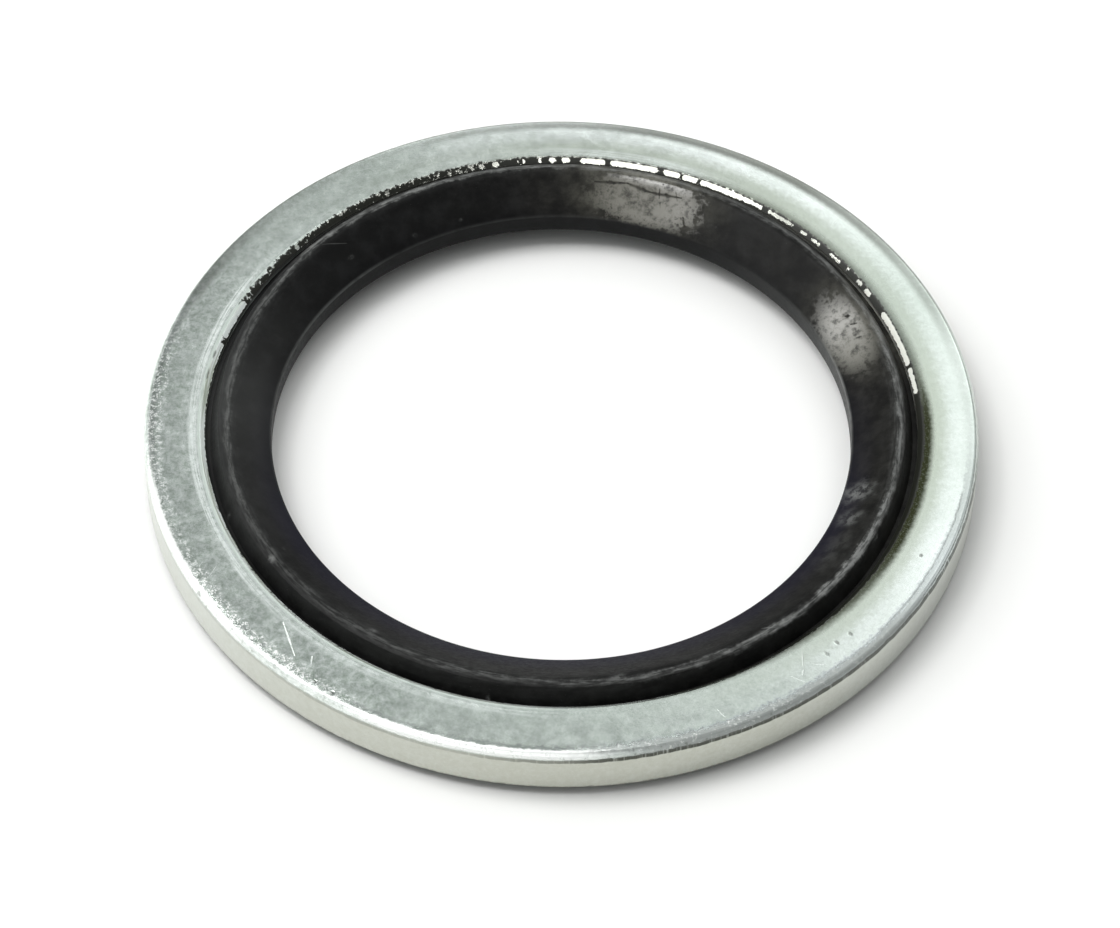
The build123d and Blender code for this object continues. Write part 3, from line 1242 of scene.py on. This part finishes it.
def rubber_noise(bench, place):
    """Noise fields of the rubber."""
    noise = noise_fields(bench, place, RUBBER_NOISE)
    noise["rubbed"] = streaks(bench, place, RUBBED)
    noise["ragged"] = bench.product(noise["ragged"], 2.2)
    noise["lumps"] = bench.product(noise["lumps"], 2.2)
    return noise


def rubber_colour(bench, place, noise, above):
    """Colour of the clean rubber, with its navy tint, its painted warm sheen and its painted grey sheen.
    """
    turn, radius = place["Turn"], place["Radius"]
    colour = bench.mixed(bench.between(noise["cloudy"], 0.4, 0.7, 0.0, 0.7), RUBBER, RUBBER_GREY)
    navy = bench.product(bench.between(radius, *NAVY_BAND), bench.round_ring(turn, NAVY), above)
    colour = bench.mixed(navy, colour, RUBBER_NAVY)
    # Painted sheen: warm reflection of the lamps on the back and the right of the cone
    warm_sheen = bench.product(
        bench.round_ring(turn, WARM_SHEEN_ROUND),
        bench.between(noise["cloudy"], 0.3, 0.65, 0.4, 1.3),
        bench.between(noise["mottle"], 0.3, 0.6, 0.6, 1.0),
        bench.between(radius, *WARM_SHEEN_BAND, 0.5, 1.0),
        above,
    )
    colour = bench.mixed(warm_sheen, colour, WARM_SHEEN)
    # Painted sheen: faint grey on the left of the cone
    sheen = bench.product(
        bench.round_ring(turn, SHEEN), bench.between(radius, *SHEEN_BAND, 0.6, 1.0), above
    )
    return bench.mixed(sheen, colour, DUST_AND_SHEEN)


def crest_dust_and_sheen(bench, place, noise, above):
    """Mask of the dust along the crest, with its painted highlight and painted sheen, and of the specks
    beside it.
    """
    turn, radius = place["Turn"], place["Radius"]
    offset = bench.minus(radius, DUST_MIDDLE)
    offset = bench.value("ADD", offset, bench.round_ring(turn, DUST_SHIFT))
    offset = bench.plus(offset, bench.centred(noise["cloudy"]), 0.25)
    offset = bench.value("ABSOLUTE", bench.plus(offset, noise["ragged"], 0.05))
    broken = bench.between(noise["rubbed"], 0.36, 0.64, 0.25, 1.0)
    # Dust along the crest, which also stands in for its painted highlight
    dust_and_sheen = bench.product(
        bench.between(offset, 0.01, 0.15, 1.0, 0.0),
        bench.round_ring(turn, CREST_DUST),
        broken,
        bench.between(noise["mottle"], 0.35, 0.6, 0.5, 1.15),
    )
    # Painted sheen round the crest
    crest_sheen = bench.product(bench.between(offset, 0.05, 0.35, 1.0, 0.0), bench.round_ring(turn, CREST_SHEEN))
    dust_and_sheen = bench.plus(dust_and_sheen, crest_sheen, broken)
    specks = bench.between(noise["fine"], 0.68, 0.78, 0.0, 0.22)
    specks = bench.product(specks, bench.between(radius, *SPECK_BAND))
    return bench.product(bench.larger(dust_and_sheen, specks), above, clamp=True)


def rubber_scuffs(bench, place, noise, above):
    """Mask of the pale scuffs and scratches on the rubber."""
    scuffs = all_patches(bench, place, noise["ragged"], SCUFF_PATCHES)
    scuffs = bench.product(scuffs, bench.between(noise["mottle"], 0.40, 0.62, 0.1, 1.2))
    marks = all_scratches(bench, place, RUBBER_SCRATCHES)
    return bench.product(bench.value("ADD", scuffs, marks), above, clamp=True)


def foot_and_land_highlights(bench, place, noise):
    """Mask of the painted highlights along the cone's foot and on the land."""
    turn = place["Turn"]
    lip_edge_height = MID_PLANE + LAND_HEIGHT / 2 - 0.01
    # Painted highlight along the cone's foot and on the land
    foot = bench.product(
        bench.between(bench.apart(place["Height"], lip_edge_height), 0.06, 0.0),
        bench.round_ring(turn, FOOT_HIGHLIGHT),
        bench.between(noise["rubbed"], 0.3, 0.55, 0.6, 1.0),
    )
    on_land = bench.between(place["Radius"], *LAND_BAND)
    return bench.larger(foot, bench.product(on_land, bench.round_ring(turn, LAND_HIGHLIGHT)))


def rubber_material():
    """Moulded rubber, dusty along its crest and polished in two places, with painted sheens and
    highlights on its cone, crest, foot and land.
    """
    material, bench, shader, place = new_material("black_rubber")
    noise = rubber_noise(bench, place)
    above = bench.between(place["Height"], *UPPER_HALF)
    colour = rubber_colour(bench, place, noise, above)
    dust_and_sheen = crest_dust_and_sheen(bench, place, noise, above)
    scuffs = rubber_scuffs(bench, place, noise, above)
    # Dust, scuffs, painted sheens and painted highlights all take the pale colour
    for mask in (dust_and_sheen, scuffs, foot_and_land_highlights(bench, place, noise)):
        colour = bench.mixed(mask, colour, DUST_AND_SHEEN)

    polished_highlight = all_patches(bench, place, bench.product(noise["lumps"], 0.9), POLISHED_HIGHLIGHTS)
    cracks = all_scratches(bench, place, CRACKS)
    polished_highlight = bench.product(polished_highlight, bench.between(noise["mottle"], 0.30, 0.60, 0.2, 1.0))
    polished_highlight = bench.minus(polished_highlight, bench.product(cracks, 0.9))
    polished_highlight = bench.product(polished_highlight, above, clamp=True)
    # Painted highlight in the polished places; the coat is their gloss
    colour = bench.mixed(bench.product(polished_highlight, 0.75), colour, WARM_SHEEN)
    bench.feed(shader.inputs["Base Color"], colour)
    bench.feed(shader.inputs["Coat Weight"], polished_highlight)
    for socket, setting in RUBBER_GLOSS.items():
        shader.inputs[socket].default_value = setting
    rough = bench.between(noise["grain"], 0.3, 0.7, 0.34, 0.46)
    rough = bench.blend(bench.larger(dust_and_sheen, scuffs), rough, 0.7)
    bench.feed(shader.inputs["Roughness"], rough)

    relief = bench.plus(noise["grain"], noise["fine"], 0.3)
    relief = bench.plus(relief, noise["broad"], 2.0)
    relief = bench.plus(relief, cracks, -1.5)
    bench.bumped(shader, relief, 0.5)
    return material


# ---- The two pieces ----

RING_TREE = turned_ring_tree()
CREASE = 12                     # degrees

steel_ring = turned_piece("plated_steel_ring", steel_section(), steel_material(), CREASE)
rubber_seal = turned_piece("moulded_rubber_seal", seal_section(), rubber_material(), CREASE)

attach(steel_ring, "root")
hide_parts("steel_ring")
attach(rubber_seal, "root")
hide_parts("rubber_seal")

# ---- Floor ----

FLOOR_REACH = 3.0               # metres
PAPER = (0.93, 0.93, 0.92, 1)


def make_floor():
    """White paper under the washer."""
    reach = FLOOR_REACH
    mesh = bpy.data.meshes.new("floor")
    corners = [(-reach, -reach, 0), (reach, -reach, 0), (reach, reach, 0), (-reach, reach, 0)]
    mesh.from_pydata(corners, [], [(0, 1, 2, 3)])
    floor = bpy.data.objects.new("floor", mesh)
    bpy.context.scene.collection.objects.link(floor)
    paper = bpy.data.materials.new("white_paper")
    paper.use_nodes = True
    shader = paper.node_tree.nodes["Principled BSDF"]
    shader.inputs["Base Color"].default_value = PAPER
    shader.inputs["Roughness"].default_value = 0.9
    shader.inputs["Specular IOR Level"].default_value = 0.0
    mesh.materials.append(paper)


make_floor()

# ---- Lights ----

# Lamps: name, turn, degrees above the floor, width, length, brightness, and what shows them: matt
# and glossy surfaces alike, or a card in gloss only, or a fill on matt surfaces only
LAMP_DISTANCE = 260
LAMPS = [
    ("key_high", 190, 72, 115, 115, 4.5, "lamp"),
    ("key_high_card", 190, 72, 115, 115, 3.46, "card"),
    ("key", 190, 52, 130, 130, 2.84, "lamp"),
    ("left_low", 207, 22, 300, 140, 0.40, "lamp"),
    ("back", 295, 43, 130, 130, 0.45, "lamp"),
    ("back_high", 315, 62, 120, 120, 0.38, "lamp"),
    ("sky", 40, 84, 290, 290, 0.50, "fill"),
    ("front_card", 108, 30, 380, 260, 0.82, "card"),
    ("front_low_card", 100, 15, 200, 100, 0.25, "card"),
    ("right_card", 345, 30, 120, 120, 0.43, "card"),
    ("back_low_card", 284, 27, 190, 80, 1.1, "card"),
    ("left_low_card", 203, 13, 90, 70, 1.0, "card"),
]
# The room: its even glow, and its bright sides as turn, rise, sharpness and brightness
ROOM_COLOUR = (0.97, 1.0, 0.985, 1)
ROOM_GLOW = 0.20
BRIGHT_SIDES = [
    (305, 35, 6, 0.70),
    (180, 10, 3, 0.86),
]


def toward(turn, rise):
    """Direction at a turn round the washer and an angle above the floor."""
    level = math.cos(math.radians(rise))
    ahead = in_plan(turn, level)
    return Vector((ahead[0], ahead[1], math.sin(math.radians(rise))))


def soft_box(name, direction, width, length, brightness, kind):
    """Rectangular lamp that faces the washer, upright."""
    lamp = bpy.data.lights.new(name, "AREA")
    lamp.shape = "RECTANGLE"
    lamp.size = width * MM
    lamp.size_y = length * MM
    lamp.energy = brightness * 4 * lamp.size * lamp.size_y
    item = bpy.data.objects.new(name, lamp)
    bpy.context.scene.collection.objects.link(item)
    side = Vector((0, 0, 1)).cross(direction).normalized()
    up = direction.cross(side)
    facing = Matrix((side, up, direction)).transposed().to_4x4()
    item.matrix_world = Matrix.Translation(direction * LAMP_DISTANCE * MM) @ facing
    item.visible_camera = False
    item.visible_diffuse = kind != "card"
    item.visible_glossy = kind != "fill"


def make_room():
    """World with an even glow and soft bright sides."""
    world = bpy.data.worlds.new("room")
    world.use_nodes = True
    bench = Bench(world.node_tree)
    back = world.node_tree.nodes["Background"]
    seen = bench.node("ShaderNodeTexCoord").outputs["Generated"]
    strength = ROOM_GLOW
    for turn, rise, sharpness, brightness in BRIGHT_SIDES:
        facing = bench.larger(bench.vector("DOT_PRODUCT", seen, toward(turn, rise)), 0)
        strength = bench.plus(strength, bench.value("POWER", facing, sharpness), brightness)
    bench.feed(back.inputs["Strength"], strength)
    back.inputs["Color"].default_value = ROOM_COLOUR
    bpy.context.scene.world = world


for lamp_name, lamp_turn, lamp_rise, *shape in LAMPS:
    soft_box(lamp_name, toward(lamp_turn, lamp_rise).normalized(), *shape)
make_room()

# ---- Camera ----

CAMERA_DISTANCE = 144.84
CAMERA_ELEVATION = 50.0
CAMERA_AIM = (-0.031, -0.415, STEEL_BOTTOM)
CAMERA_ROLL = 0.752
LENS = 160.7
SENSOR_WIDTH = 36


def place_camera():
    """Camera in front of the washer, looking down on it."""
    data = bpy.data.cameras.new("camera")
    data.lens = LENS
    data.sensor_width = SENSOR_WIDTH
    data.clip_start = 0.01
    camera = bpy.data.objects.new("camera", data)
    bpy.context.scene.collection.objects.link(camera)
    rise = math.radians(CAMERA_ELEVATION)
    spot = Vector((0, -math.cos(rise), math.sin(rise))) * CAMERA_DISTANCE
    spot.z += STEEL_BOTTOM
    look = (Vector(CAMERA_AIM) - spot).to_track_quat("-Z", "Y").to_matrix().to_4x4()
    roll = Matrix.Rotation(math.radians(CAMERA_ROLL), 4, "Z")
    camera.matrix_world = Matrix.Translation(spot * MM) @ look @ roll
    bpy.context.scene.camera = camera


place_camera()
bpy.context.scene.view_settings.view_transform = "Standard"
